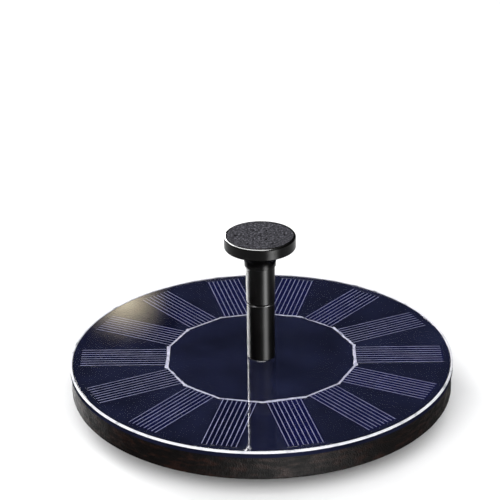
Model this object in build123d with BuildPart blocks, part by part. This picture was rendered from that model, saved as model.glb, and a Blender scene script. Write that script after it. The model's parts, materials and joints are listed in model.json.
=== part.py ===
from build123d import *

import os
from math import asin, cos, degrees, radians, sin, sqrt, tan

# A floating solar fountain pump. A round panel of solar cells lies on a closed-cell foam ring.
# A small brushless pump stands in a housing under the middle of the panel, and its outlet comes
# up through the panel as a nipple that carries two push-fit riser tubes and a spray head.
# A twist-off strainer closes the underside.
#
# The origin is the middle of the strainer's flat base. +Z runs up the riser, and the rotor stands
# beside the riser on the +X side. All sizes are in millimetres and all bearings in degrees.

# ---------------------------------------------------------------- driving sizes
# Clearances
contact_gap = 0.02  # round pieces that are pressed in, glued in or covered over
push_fit_gap = 0.05
joint_gap = 0.1

# Solar panel and float
panel_diameter = 160.0
board_thickness = 1.8
cover_thickness = 0.7
cover_chamfer = 0.35
edge_band_width = 0.8  # of the pale band that closes the cover's edge
edge_band_round = 0.3
float_thickness = 10.0
float_setback = 0.3  # how far the float's side stands in from the panel's edge
float_edge_round = 1.0

# Solar cells, their fingers and the ribbon that joins them
cell_count = 14
cell_spacing = 3.12  # between neighbours at their inner ends
cell_edge_margin = 3.9  # from the cells' outer ends to the panel's edge
cell_thickness = 0.2
finger_count = 8
finger_side_margin = 0.675
finger_end_margin = 0.5
finger_width = 0.3
finger_height = 0.05
ribbon_apothem = 39.2
ribbon_width = 1.0

# Pump housing
housing_wall = 1.6
housing_floor = 1.4
flange_lap = 4.0  # how far the flange reaches under the float
float_hole_gap = 1.0
sealant_thickness = 0.3
pot_wall = 1.0
pot_gap = 0.2
pot_lap = 0.4  # how far the motor pot's wall runs into the riser's
tray_gap = 0.2  # between the motor pot and the tray's wall

# Riser outlet
nipple_radius = 4.2
nipple_bore_radius = 2.6
nipple_height = 10.0
nipple_chamfer = 0.4
nipple_seal_width = 1.0

# Rotor and its shaft
shaft_radius = 0.75
shaft_running_gap = 0.04
bush_wall = 0.45
magnet_radius = 5.0
magnet_bore_radius = 2.0
magnet_length = 6.4
magnet_lift = 0.6  # from the underside of the housing's floor to the magnet
magnet_gap = 0.5
collar_radius = 3.6
hub_end_height = 0.4  # how far the hub stands out of the magnet
can_wall = 0.8
seat_wall = 0.85
seat_height = 1.2
seat_proud = 0.2  # how far the upper seat stands out of its boss
washer_thickness = 0.3
washer_wall = 0.8
washer_gap = 0.05

# Impeller
impeller_radius = 8.2
vane_count = 6
vane_height = 2.6
vane_thickness = 0.9
vane_lean = radians(38)  # from the vane's root round to its tip
shroud_thickness = 0.6
chamber_end_gap = 0.4

# Stator, driver and potting
stator_height = 3.4
stator_lift = 2.2  # from the housing's floor to the stator
stator_yoke = 1.6
stator_ledge = 1.2
stator_bore_gap = 0.3
pole_count = 4
pole_width = 3.6
shoe_depth = 1.0
shoe_angle = 64.0
bobbin_wall = 0.4
bobbin_inset = 0.2
bobbin_corner_room = 0.6  # from a bobbin's flat end out to the yoke
coil_length = 2.2
coil_side = 1.3
coil_end = 0.9
coil_corner = 0.8
driver_gap = 0.1
driver_thickness = 1.0
chip_height = 0.95
# (bearing from the rotor's axis, radial size, other size) of each chip on the driver board
driver_chips = ((0.0, 3.8, 4.8), (50.0, 1.3, 2.0), (75.0, 1.3, 2.0), (-60.0, 2.2, 3.0), (-100.0, 1.3, 2.0))
resin_cover = 0.45  # over the tallest thing in the motor pot

# Volute and its cover
volute_gap = 1.0  # between the impeller and the tongue
volute_growth = 2.8
volute_wall = 1.2
channel_width = 4.4
gasket_thickness = 0.4
pump_cover_thickness = 1.2
intake_gap = 1.6  # between the strainer's floor and the pump's cover
intake_radius = 4.4
intake_boss_wall = 0.8
intake_boss_floor = 0.4
spoke_count = 3
spoke_width = 1.2
screw_boss_radius = 2.4
screw_boss_lap = 0.8
screw_bearing = 65.0  # of the two screws beside the rotor
screw_radius = 0.7
screw_hole_radius = 0.85
screw_length = 4.2
screw_head_radius = 1.6
screw_head_height = 1.1
screw_recess_length = 1.8
screw_recess_width = 0.45
screw_recess_depth = 0.6

# Leads from the panel to the driver
lead_radius = 0.55
lead_spacing = 3.0
lead_bearing = 140.0  # of the notch where they leave the motor pot
lead_gap = 0.1
lead_lift = 0.15
driver_pad_reach = 9.0  # from the rotor's axis to the leads' ends
driver_pad_length = 2.0
terminal_reach = 28.0  # from the rotor's axis to the pads under the panel
terminal_size = 2.2
terminal_thickness = 0.3

# Strainer and its bayonet
strainer_step = 2.0  # how far the strainer stands out past the housing's tray
strainer_wall = 1.8
strainer_floor = 1.8
strainer_top_gap = 0.2
strainer_fit_gap = 0.2
strainer_edge_round = 1.2
side_slot_count = 40
side_slot_width = 2.2
side_slot_height = 3.2
side_slot_lift = 0.6
base_slot_width = 2.2
inner_slot_count = 12
inner_slot_start = 8.0
inner_slot_end = 16.5
outer_slot_count = 24
outer_slot_start = 19.0
outer_slot_margin = 3.2
lug_count = 3
lug_bearing = 90.0
lug_angle = 8.0
lug_depth = 1.0
lug_height = 1.2
lug_inset = 1.2  # from the strainer's top edge down to the lug
lug_gap = 0.2
lug_end_play = 1.0  # degrees
twist_angle = 20.0
skirt_wall = 2.8
skirt_gap = 1.2  # between the strainer's floor and the housing's skirt
skirt_angle = 52.0

# Riser tubes
push_fit_depth = 8.0
socket_extra_depth = 0.3
riser_bore_radius = 3.0
lower_tube_wall = 1.55  # round the sockets
lower_tube_length = 25.2
lower_tube_chamfer = 0.3
upper_tube_wall = 1.75  # round the socket
upper_tube_length = 16.5
upper_tube_bevel = 0.7

# Spray head
head_radius = 14.75
head_height = 13.3
head_rim_height = 5.3
head_rim_round = 0.9
head_shoulder = 0.9
head_shoulder_round = 0.5
head_neck_step = 0.5
head_neck_height = 0.6
head_wall = 1.5
plenum_depth = 2.0
plenum_radius = 12.0
plate_radius = 13.7
plate_thickness = 1.2
plate_recess = 0.1
plate_chamfer = 0.15
jet_radius = 0.6
jet_rings = ((5.0, 6), (10.0, 6))  # (ring radius, jets) round the middle jet

# ---------------------------------------------------------------- levels, from the base up
pump_cover_bottom = strainer_floor + intake_gap
chamber_bottom = pump_cover_bottom + pump_cover_thickness
volute_base = chamber_bottom + gasket_thickness
vane_bottom = chamber_bottom + chamber_end_gap
shroud_bottom = vane_bottom + vane_height
shroud_top = shroud_bottom + shroud_thickness
floor_bottom = shroud_top + chamber_end_gap
floor_top = floor_bottom + housing_floor
magnet_bottom = floor_bottom + magnet_lift
magnet_top = magnet_bottom + magnet_length
hub_top = magnet_top + hub_end_height
lower_seat_bottom = vane_bottom - washer_gap - washer_thickness - seat_height
intake_boss_bottom = lower_seat_bottom - intake_boss_floor
upper_seat_bottom = hub_top + washer_gap + washer_thickness
can_ceiling = upper_seat_bottom + seat_height
can_top = can_ceiling + can_wall

stator_bottom = floor_top + stator_lift
stator_top = stator_bottom + stator_height
stator_middle = (stator_bottom + stator_top) / 2
driver_bottom = stator_top + bobbin_wall + coil_end + driver_gap
driver_top = driver_bottom + driver_thickness
resin_top = max(driver_top + chip_height, can_top) + resin_cover
lead_height = driver_top + lead_lift + lead_radius

float_bottom = floor_top
board_bottom = float_bottom + float_thickness
board_top = board_bottom + board_thickness
cell_layer = cell_thickness + finger_height
cover_bottom = board_top + contact_gap
panel_top = board_top + cover_thickness
housing_top = board_bottom - sealant_thickness
nipple_top = panel_top + nipple_height

strainer_top = floor_bottom - strainer_top_gap
lug_top = strainer_top - lug_inset
lug_bottom = lug_top - lug_height
skirt_bottom = strainer_floor + skirt_gap

lower_tube_bottom = panel_top + joint_gap
lower_tube_top = lower_tube_bottom + lower_tube_length
upper_tube_bottom = lower_tube_top + joint_gap
upper_tube_top = upper_tube_bottom + upper_tube_length
head_bottom = upper_tube_top + joint_gap
neck_top = head_bottom + head_neck_height
head_top = head_bottom + head_height
rim_bottom = head_top - head_rim_height
plate_top = head_top - plate_recess
plate_bottom = plate_top - plate_thickness
plenum_bottom = plate_bottom - plenum_depth

# ---------------------------------------------------------------- radii, widths and places
panel_radius = panel_diameter / 2
cover_radius = panel_radius - edge_band_width
cell_inner = ribbon_apothem + ribbon_width / 2
cell_length = panel_radius - cell_edge_margin - cell_inner
cell_middle = cell_inner + cell_length / 2
cell_width = 2 * cell_inner * tan(radians(180 / cell_count)) - cell_spacing
finger_length = cell_length - finger_end_margin
finger_pitch = (cell_width - 2 * finger_side_margin) / (finger_count - 1)
seal_radius = nipple_radius + nipple_seal_width
socket_radius = nipple_radius + push_fit_gap
lower_tube_radius = socket_radius + lower_tube_wall
upper_tube_radius = socket_radius + upper_tube_wall
head_neck_radius = upper_tube_radius + head_neck_step

can_radius = magnet_radius + magnet_gap
can_outer_radius = can_radius + can_wall
bush_radius = shaft_radius + shaft_running_gap + bush_wall
seat_radius = shaft_radius + seat_wall
intake_boss_radius = seat_radius + intake_boss_wall
stator_bore_radius = can_outer_radius + stator_bore_gap
core_width = pole_width + 2 * bobbin_wall
core_height = stator_height + 2 * bobbin_wall
winding_width = core_width + 2 * coil_side
winding_height = core_height + 2 * coil_end
coil_inner = stator_bore_radius + shoe_depth + bobbin_inset + bobbin_wall
stator_radius = coil_inner + coil_length + bobbin_wall + bobbin_corner_room + stator_yoke
chip_radius = (stator_bore_radius + stator_radius) / 2
pot_radius = stator_radius + pot_gap
rotor_offset = nipple_radius + pot_wall + pot_radius - pot_lap
housing_radius = rotor_offset + pot_radius + pot_wall + tray_gap + housing_wall

volute_start = impeller_radius + volute_gap
volute_end = volute_start + volute_growth
volute_middle = (volute_start + volute_end) / 2
channel_offset = volute_end - channel_width / 2
channel_length = sqrt(rotor_offset**2 - channel_offset**2)
channel_bearing = degrees(asin(channel_offset / rotor_offset))

strainer_radius = housing_radius + strainer_step
strainer_inner_radius = strainer_radius - strainer_wall
skirt_radius = strainer_inner_radius - strainer_fit_gap
lug_inner_radius = strainer_inner_radius - lug_depth
lug_bearings = [lug_bearing + 360 * turn / lug_count for turn in range(lug_count)]

# ---------------------------------------------------------------- planes
rotor_plane = Plane((rotor_offset, 0, 0))

# The volute's plane is turned so that its outlet channel runs to the riser's axis.
volute_plane = Plane(
    (rotor_offset, 0, 0),
    x_dir=(cos(radians(channel_bearing)), sin(radians(channel_bearing)), 0),
    z_dir=(0, 0, 1),
)

# The leads run away from the rotor's axis. This upright plane has its x that way and its y up.
lead_along = (cos(radians(lead_bearing)), sin(radians(lead_bearing)), 0)
lead_across = (sin(radians(lead_bearing)), -cos(radians(lead_bearing)), 0)
lead_plane = Plane((rotor_offset, 0, 0), x_dir=lead_along, z_dir=lead_across)
lead_level_plane = Plane((rotor_offset, 0, 0), x_dir=lead_along, z_dir=(0, 0, 1))

# Each pole's plane looks out along the pole, with its y up.
pole_bearings = [180 / pole_count + 360 * pole / pole_count for pole in range(pole_count)]
pole_planes = [
    Plane(
        (rotor_offset, 0, stator_middle),
        x_dir=(-sin(radians(bearing)), cos(radians(bearing)), 0),
        z_dir=(cos(radians(bearing)), sin(radians(bearing)), 0),
    )
    for bearing in pole_bearings
]


def screw_place(bearing, chamber_radius):
    """Gives the place of a screw just outside the chamber, in the volute's plane."""
    angle = radians(bearing - channel_bearing)
    reach = chamber_radius + volute_wall + screw_boss_radius - screw_boss_lap
    return reach * cos(angle), reach * sin(angle)


screw_places = [
    screw_place(screw_bearing, volute_middle + volute_growth / 4),
    screw_place(-screw_bearing, volute_start),
    (
        -channel_length - nipple_bore_radius - volute_wall - screw_boss_radius + screw_boss_lap,
        channel_offset,
    ),
]


# ---------------------------------------------------------------- outlines used more than once
def ring(outer_radius, inner_radius):
    """Draws a ring."""
    Circle(outer_radius)
    Circle(inner_radius, mode=Mode.SUBTRACT)


def ring_sector(outer_radius, inner_radius, middle_bearing, arc_angle):
    """Draws a length of ring."""
    start_bearing = middle_bearing - arc_angle / 2
    with BuildLine() as outline:
        outer = CenterArc((0, 0), outer_radius, start_bearing, arc_angle)
        inner = CenterArc((0, 0), inner_radius, start_bearing, arc_angle)
        Line(outer @ 0, inner @ 0)
        Line(outer @ 1, inner @ 1)
    make_face(outline.edges())


def ribbon_outline():
    """Draws the ribbon, a thin regular polygon with one side across each cell's inner end."""
    turn = 180 / cell_count
    outer_apothem = ribbon_apothem + ribbon_width / 2
    inner_apothem = ribbon_apothem - ribbon_width / 2
    RegularPolygon(outer_apothem, cell_count, major_radius=False, rotation=turn)
    RegularPolygon(inner_apothem, cell_count, major_radius=False, rotation=turn, mode=Mode.SUBTRACT)


def cell_outlines():
    """Draws the solar cells."""
    with PolarLocations(cell_middle, cell_count):
        Rectangle(cell_length, cell_width)


def chamber_outline():
    """Draws the pumping chamber: a spiral of two arcs, its outlet channel and the riser's foot."""
    with BuildLine() as spiral:
        ThreePointArc((0, volute_start), (-volute_start, 0), (0, -volute_start))
        ThreePointArc((0, -volute_start), (volute_middle, volute_growth / 2), (0, volute_end))
        Line((0, volute_end), (0, volute_start))
    make_face(spiral.edges())
    with Locations((-channel_length / 2, channel_offset)):
        Rectangle(channel_length, channel_width)
    with Locations((-channel_length, channel_offset)):
        Circle(nipple_bore_radius)


def volute_outline(screw_opening):
    """Draws the outside of the chamber's wall with its screw bosses, and their openings."""
    chamber_outline()
    offset(amount=volute_wall, kind=Kind.ARC)
    with Locations(*screw_places):
        Circle(screw_boss_radius)
        Circle(screw_opening, mode=Mode.SUBTRACT)


def driver_chip_outlines():
    """Draws the chips on the driver board, each square to the rotor's axis."""
    for bearing, radial_size, other_size in driver_chips:
        with PolarLocations(chip_radius, 1, start_angle=bearing):
            Rectangle(radial_size, other_size)


# ---------------------------------------------------------------- solar panel
with BuildPart() as panel_board:
    with BuildSketch(Plane.XY.offset(board_bottom)):
        ring(panel_radius, seal_radius)
    extrude(amount=board_thickness)

with BuildPart() as solar_cells:
    with BuildSketch(Plane.XY.offset(board_top)):
        cell_outlines()
    extrude(amount=cell_thickness)

with BuildPart() as cell_fingers:
    with BuildSketch(Plane.XY.offset(board_top + cell_thickness)):
        with PolarLocations(cell_inner + finger_length / 2, cell_count):
            with GridLocations(0, finger_pitch, 1, finger_count):
                Rectangle(finger_length, finger_width)
    extrude(amount=finger_height)

with BuildPart() as bus_ribbon:
    with BuildSketch(Plane.XY.offset(board_top)):
        ribbon_outline()
    extrude(amount=cell_layer)

with BuildPart() as clear_cover:
    with BuildSketch(Plane.XY.offset(cover_bottom)):
        ring(cover_radius, seal_radius)
    extrude(amount=panel_top - cover_bottom)
    chamfer(clear_cover.edges().group_by(Axis.Z)[-1].sort_by(SortBy.RADIUS)[-1], length=cover_chamfer)
    with BuildSketch(Plane.XY.offset(board_top)):
        ribbon_outline()
        cell_outlines()
    extrude(amount=cell_layer + contact_gap, mode=Mode.SUBTRACT)

with BuildPart() as edge_band:
    with BuildSketch(Plane.XY.offset(board_top)):
        ring(panel_radius, cover_radius + contact_gap)
    extrude(amount=cover_thickness)
    fillet(edge_band.edges().group_by(Axis.Z)[-1].sort_by(SortBy.RADIUS)[-1], radius=edge_band_round)

# The pads that the leads are soldered to lie under the board, over the housing's tray.
with BuildPart() as terminal_pads:
    with BuildSketch(lead_level_plane.offset(board_bottom - terminal_thickness)):
        with Locations((terminal_reach, 0)):
            with GridLocations(0, lead_spacing, 1, 2):
                Rectangle(terminal_size, terminal_size)
    extrude(amount=terminal_thickness)

# ---------------------------------------------------------------- foam float
with BuildPart() as foam_float:
    with BuildSketch(Plane.XY.offset(float_bottom)):
        ring(panel_radius - float_setback, housing_radius + float_hole_gap)
    extrude(amount=float_thickness)
    fillet(foam_float.edges().group_by(Axis.Z)[0].sort_by(SortBy.RADIUS)[-1], radius=float_edge_round)

# ---------------------------------------------------------------- pump housing
with BuildPart() as pump_housing:
    # Floor with its flange, the tray's wall, and the riser that ends in the nipple
    with BuildSketch(Plane.XY.offset(floor_bottom)):
        Circle(housing_radius + flange_lap)
    extrude(amount=housing_floor)
    with BuildSketch(Plane.XY.offset(floor_top)):
        ring(housing_radius, housing_radius - housing_wall)
    extrude(amount=housing_top - floor_top)
    with BuildSketch(Plane.XY.offset(floor_bottom)):
        Circle(nipple_radius)
    extrude(amount=nipple_top - floor_bottom)
    chamfer(pump_housing.edges().group_by(Axis.Z)[-1], length=nipple_chamfer)

    # Motor pot with a ledge for the stator, and the can that the rotor turns in
    with BuildSketch(rotor_plane.offset(floor_top)):
        ring(pot_radius + pot_wall, pot_radius)
    extrude(amount=resin_top - floor_top)
    with BuildSketch(rotor_plane.offset(floor_top)):
        ring(pot_radius, stator_radius - stator_ledge)
    extrude(amount=stator_lift)
    with BuildSketch(rotor_plane.offset(floor_top)):
        Circle(can_outer_radius)
    extrude(amount=can_top - floor_top)

    # Volute wall with its screw bosses, under the floor
    with BuildSketch(volute_plane.offset(volute_base)):
        volute_outline(screw_radius + contact_gap)
    extrude(amount=floor_bottom - volute_base)
    with BuildSketch(volute_plane.offset(volute_base)):
        chamber_outline()
    extrude(amount=floor_bottom - volute_base, mode=Mode.SUBTRACT)

    # Bores of the riser and the can, and the boss that holds the shaft's upper seat
    with BuildSketch(Plane.XY.offset(floor_bottom)):
        Circle(nipple_bore_radius)
    extrude(amount=nipple_top - floor_bottom, mode=Mode.SUBTRACT)
    with BuildSketch(rotor_plane.offset(floor_bottom)):
        Circle(can_radius)
    extrude(amount=can_ceiling - floor_bottom, mode=Mode.SUBTRACT)
    with BuildSketch(rotor_plane.offset(upper_seat_bottom + seat_proud)):
        ring(seat_radius + can_wall, seat_radius)
    extrude(amount=seat_height - seat_proud)

    # Notch in the motor pot's wall for the leads
    with BuildSketch(lead_level_plane.offset(driver_top)):
        with Locations((pot_radius + pot_wall / 2, 0)):
            Rectangle(2 * pot_wall, lead_spacing + 2 * (lead_radius + lead_gap))
    extrude(amount=resin_top - driver_top, mode=Mode.SUBTRACT)

    # Bayonet skirt: an arc for each lug, with a level groove and the slot where the lug enters it
    for bearing in lug_bearings:
        groove_bearing = bearing + twist_angle / 2
        slot_angle = lug_angle + 2 * lug_end_play
        with BuildSketch(Plane.XY.offset(skirt_bottom)):
            ring_sector(skirt_radius, skirt_radius - skirt_wall, groove_bearing, skirt_angle)
        extrude(amount=floor_bottom - skirt_bottom)
        with BuildSketch(Plane.XY.offset(lug_bottom - lug_gap)):
            ring_sector(strainer_radius, lug_inner_radius - lug_gap, groove_bearing, twist_angle + slot_angle)
        extrude(amount=lug_height + 2 * lug_gap, mode=Mode.SUBTRACT)
        with BuildSketch(Plane.XY.offset(skirt_bottom)):
            ring_sector(strainer_radius, lug_inner_radius - lug_gap, bearing + twist_angle, slot_angle)
        extrude(amount=lug_bottom - skirt_bottom, mode=Mode.SUBTRACT)

with BuildPart() as housing_sealant:
    with BuildSketch(Plane.XY.offset(housing_top)):
        ring(housing_radius, housing_radius - housing_wall)
    extrude(amount=sealant_thickness)

with BuildPart() as nipple_seal:
    with BuildSketch(Plane.XY.offset(board_bottom)):
        ring(seal_radius - contact_gap, nipple_radius + contact_gap)
    extrude(amount=panel_top - board_bottom)

# ---------------------------------------------------------------- rotor
with BuildPart() as rotor_magnet:
    with BuildSketch(rotor_plane.offset(magnet_bottom)):
        ring(magnet_radius, magnet_bore_radius)
    extrude(amount=magnet_length)

with BuildPart() as impeller:
    with BuildSketch(rotor_plane.offset(shroud_bottom)):
        Circle(impeller_radius)
    extrude(amount=shroud_thickness)
    with BuildSketch(rotor_plane.offset(shroud_top)):
        Circle(collar_radius)
    extrude(amount=magnet_bottom - shroud_top)
    with BuildSketch(rotor_plane.offset(vane_bottom)):
        Circle(magnet_bore_radius - contact_gap)
    extrude(amount=hub_top - vane_bottom)
    # Vanes that curve back from the way the rotor turns
    vane_tip = impeller_radius - vane_thickness / 2
    vane_bend = (magnet_bore_radius + vane_tip) / 2
    for vane in range(vane_count):
        vane_bearing = radians(360 * vane / vane_count)
        vane_direction = (cos(vane_bearing), sin(vane_bearing), 0)
        with BuildSketch(Plane((rotor_offset, 0, vane_bottom), x_dir=vane_direction, z_dir=(0, 0, 1))):
            with BuildLine():
                ThreePointArc(
                    (bush_radius, 0),
                    (vane_bend * cos(vane_lean / 4), -vane_bend * sin(vane_lean / 4)),
                    (vane_tip * cos(vane_lean), -vane_tip * sin(vane_lean)),
                )
            trace(line_width=vane_thickness)
        extrude(amount=vane_height)
    with BuildSketch(rotor_plane.offset(vane_bottom)):
        Circle(bush_radius + contact_gap)
    extrude(amount=hub_top - vane_bottom, mode=Mode.SUBTRACT)

with BuildPart() as rotor_bush:
    with BuildSketch(rotor_plane.offset(vane_bottom)):
        ring(bush_radius, shaft_radius + shaft_running_gap)
    extrude(amount=hub_top - vane_bottom)

with BuildPart() as shaft:
    with BuildSketch(rotor_plane.offset(lower_seat_bottom)):
        Circle(shaft_radius)
    extrude(amount=can_ceiling - lower_seat_bottom)

with BuildPart() as shaft_seats:
    with BuildSketch(rotor_plane.offset(lower_seat_bottom), rotor_plane.offset(upper_seat_bottom)):
        ring(seat_radius - contact_gap, shaft_radius + contact_gap)
    extrude(amount=seat_height)

with BuildPart() as thrust_washers:
    washer_levels = (lower_seat_bottom + seat_height, hub_top + washer_gap)
    with BuildSketch(*[rotor_plane.offset(level) for level in washer_levels]):
        ring(shaft_radius + washer_wall, shaft_radius + contact_gap)
    extrude(amount=washer_thickness)

# ---------------------------------------------------------------- stator
with BuildPart() as stator_core:
    with BuildSketch(rotor_plane.offset(stator_bottom)):
        ring(stator_radius, stator_radius - stator_yoke)
        for bearing in pole_bearings:
            ring_sector(stator_bore_radius + shoe_depth, stator_bore_radius, bearing, shoe_angle)
        pole_start = stator_bore_radius + shoe_depth / 2
        pole_end = stator_radius - stator_yoke / 2
        with PolarLocations((pole_start + pole_end) / 2, pole_count, start_angle=pole_bearings[0]):
            Rectangle(pole_end - pole_start, pole_width)
    extrude(amount=stator_height)

with BuildPart() as stator_bobbins:
    for pole_plane in pole_planes:
        inner_flange = pole_plane.offset(coil_inner - bobbin_wall)
        outer_flange = pole_plane.offset(coil_inner + coil_length)
        with BuildSketch(inner_flange, outer_flange):
            Rectangle(winding_width, winding_height)
        extrude(amount=bobbin_wall)
        with BuildSketch(inner_flange):
            Rectangle(core_width, core_height)
        extrude(amount=coil_length + 2 * bobbin_wall)
        with BuildSketch(inner_flange):
            Rectangle(pole_width, stator_height)
        extrude(amount=coil_length + 2 * bobbin_wall, mode=Mode.SUBTRACT)

with BuildPart() as stator_coils:
    for pole_plane in pole_planes:
        with BuildSketch(pole_plane.offset(coil_inner)):
            RectangleRounded(winding_width, winding_height, coil_corner)
            Rectangle(core_width, core_height, mode=Mode.SUBTRACT)
        extrude(amount=coil_length)

# ---------------------------------------------------------------- driver and potting
with BuildPart() as driver_board:
    with BuildSketch(rotor_plane.offset(driver_bottom)):
        ring(stator_radius, stator_bore_radius)
    extrude(amount=driver_thickness)

with BuildPart() as driver_components:
    with BuildSketch(rotor_plane.offset(driver_top)):
        driver_chip_outlines()
    extrude(amount=chip_height)
    with BuildSketch(lead_level_plane.offset(driver_top)):
        with Locations((driver_pad_reach + driver_pad_length / 2, 0)):
            with GridLocations(0, lead_spacing, 1, 2):
                Rectangle(driver_pad_length, 2 * lead_radius)
    extrude(amount=lead_lift)

with BuildPart() as potting_resin:
    with BuildSketch(rotor_plane.offset(driver_top)):
        Circle(pot_radius - contact_gap)
    extrude(amount=resin_top - driver_top)
    with BuildSketch(rotor_plane.offset(driver_top)):
        Circle(can_outer_radius + contact_gap)
    extrude(amount=can_top - driver_top, mode=Mode.SUBTRACT)
    with BuildSketch(rotor_plane.offset(driver_top)):
        driver_chip_outlines()
    extrude(amount=chip_height, mode=Mode.SUBTRACT)
    # Room for the leads and their pads
    with BuildSketch(lead_level_plane.offset(driver_top)):
        with Locations(((driver_pad_reach + pot_radius) / 2, 0)):
            with GridLocations(0, lead_spacing, 1, 2):
                Rectangle(pot_radius - driver_pad_reach, 2 * (lead_radius + contact_gap))
    extrude(amount=lead_lift + 2 * lead_radius + contact_gap, mode=Mode.SUBTRACT)

# ---------------------------------------------------------------- leads
# (distance from the rotor's axis, height) of the corners of each lead's route: level out of the
# pot, a dip into the tray, and straight up to the pad under the panel
lead_routes = {
    "red": (
        (driver_pad_reach, lead_height),
        (16.8, lead_height),
        (20.4, lead_height - 3.7),
        (25.0, lead_height - 4.2),
        (terminal_reach, lead_height - 1.2),
        (terminal_reach, board_bottom - terminal_thickness),
    ),
    "black": (
        (driver_pad_reach, lead_height),
        (16.4, lead_height),
        (19.6, lead_height - 4.4),
        (24.4, lead_height - 5.2),
        (terminal_reach, lead_height - 1.6),
        (terminal_reach, board_bottom - terminal_thickness),
    ),
}


def corner_radii(points):
    """Gives each corner of a route the largest radius that its two runs have room for."""
    radii = []
    for before, corner, after in zip(points, points[1:], points[2:]):
        run_in = Vector(*corner) - Vector(*before)
        run_out = Vector(*after) - Vector(*corner)
        half_turn = radians(run_in.get_angle(run_out) / 2)
        radii.append(0.45 * min(run_in.length, run_out.length) / tan(half_turn))
    return radii


def lead(colour, side):
    """Makes one lead, on its own side of the leads' plane."""
    radii = corner_radii(lead_routes[colour])
    with BuildPart() as wire:
        with BuildLine(lead_plane.offset(side * lead_spacing / 2)) as route:
            FilletPolyline(*lead_routes[colour], radius=radii)
        path = route.wire()
        with BuildSketch(Plane(path @ 0, z_dir=path % 0)) as section:
            Circle(lead_radius)
        sweep(path=path)
    print(colour, "lead: length", round(path.length, 1), "radii", [round(radius, 1) for radius in radii])
    print("volume", round(wire.part.volume, 2), "of", round(section.sketch.area * path.length, 2))
    return wire


red_lead = lead("red", 1)
black_lead = lead("black", -1)

# ---------------------------------------------------------------- pump cover
with BuildPart() as pump_cover:
    with BuildSketch(volute_plane.offset(pump_cover_bottom)):
        volute_outline(screw_hole_radius)
    extrude(amount=pump_cover_thickness)
    with BuildSketch(rotor_plane.offset(pump_cover_bottom)):
        Circle(intake_radius)
    extrude(amount=pump_cover_thickness, mode=Mode.SUBTRACT)
    # The boss in the intake that holds the shaft's lower seat, on its spokes
    with BuildSketch(rotor_plane.offset(pump_cover_bottom)):
        with PolarLocations(intake_radius / 2, spoke_count):
            Rectangle(intake_radius + spoke_width, spoke_width)
    extrude(amount=pump_cover_thickness)
    with BuildSketch(rotor_plane.offset(intake_boss_bottom)):
        Circle(intake_boss_radius)
    extrude(amount=chamber_bottom - intake_boss_bottom)
    with BuildSketch(rotor_plane.offset(lower_seat_bottom)):
        Circle(seat_radius)
    extrude(amount=chamber_bottom - lower_seat_bottom, mode=Mode.SUBTRACT)

with BuildPart() as cover_gasket:
    with BuildSketch(volute_plane.offset(chamber_bottom)):
        volute_outline(screw_hole_radius)
    extrude(amount=gasket_thickness)
    with BuildSketch(volute_plane.offset(chamber_bottom)):
        chamber_outline()
    extrude(amount=gasket_thickness, mode=Mode.SUBTRACT)

with BuildPart() as cover_screws:
    with BuildSketch(volute_plane.offset(pump_cover_bottom - screw_head_height)):
        with Locations(*screw_places):
            Circle(screw_head_radius)
    extrude(amount=screw_head_height)
    with BuildSketch(volute_plane.offset(pump_cover_bottom)):
        with Locations(*screw_places):
            Circle(screw_radius)
    extrude(amount=screw_length)
    with BuildSketch(volute_plane.offset(pump_cover_bottom - screw_head_height)):
        with Locations(*screw_places):
            Rectangle(screw_recess_length, screw_recess_width)
            Rectangle(screw_recess_width, screw_recess_length)
    extrude(amount=screw_recess_depth, mode=Mode.SUBTRACT)

# ---------------------------------------------------------------- strainer
with BuildPart() as strainer_cover:
    with BuildSketch():
        Circle(strainer_radius)
    extrude(amount=strainer_floor)
    fillet(strainer_cover.edges().group_by(Axis.Z)[0], radius=strainer_edge_round)
    with BuildSketch(Plane.XY.offset(strainer_floor)):
        ring(strainer_radius, strainer_inner_radius)
    extrude(amount=strainer_top - strainer_floor)
    with BuildSketch(Plane.XY.offset(lug_bottom)):
        for bearing in lug_bearings:
            ring_sector(strainer_radius - strainer_wall / 2, lug_inner_radius, bearing, lug_angle)
    extrude(amount=lug_height)
    # Slots in the base and in the side
    outer_slot_end = strainer_inner_radius - outer_slot_margin
    with BuildSketch():
        with PolarLocations((inner_slot_start + inner_slot_end) / 2, inner_slot_count):
            SlotOverall(inner_slot_end - inner_slot_start, base_slot_width)
        with PolarLocations((outer_slot_start + outer_slot_end) / 2, outer_slot_count):
            SlotOverall(outer_slot_end - outer_slot_start, base_slot_width)
    extrude(amount=strainer_floor, mode=Mode.SUBTRACT)
    with Locations((0, 0, strainer_floor + side_slot_lift + side_slot_height / 2)):
        with PolarLocations(strainer_radius - strainer_wall / 2, side_slot_count):
            Box(2 * strainer_wall, side_slot_width, side_slot_height, mode=Mode.SUBTRACT)

# ---------------------------------------------------------------- riser tubes
with BuildPart() as lower_tube:
    with BuildSketch(Plane.XY.offset(lower_tube_bottom)):
        ring(lower_tube_radius, riser_bore_radius)
    extrude(amount=lower_tube_length)
    outer_edges = lower_tube.edges().filter_by(GeomType.CIRCLE).group_by(SortBy.RADIUS)[-1]
    chamfer(outer_edges, length=lower_tube_chamfer)
    nipple_socket_depth = nipple_top - lower_tube_bottom + socket_extra_depth
    with BuildSketch(Plane.XY.offset(lower_tube_bottom)):
        Circle(socket_radius)
    extrude(amount=nipple_socket_depth, mode=Mode.SUBTRACT)
    with BuildSketch(Plane.XY.offset(lower_tube_top)):
        Circle(socket_radius)
    extrude(amount=-push_fit_depth - socket_extra_depth, mode=Mode.SUBTRACT)

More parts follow.
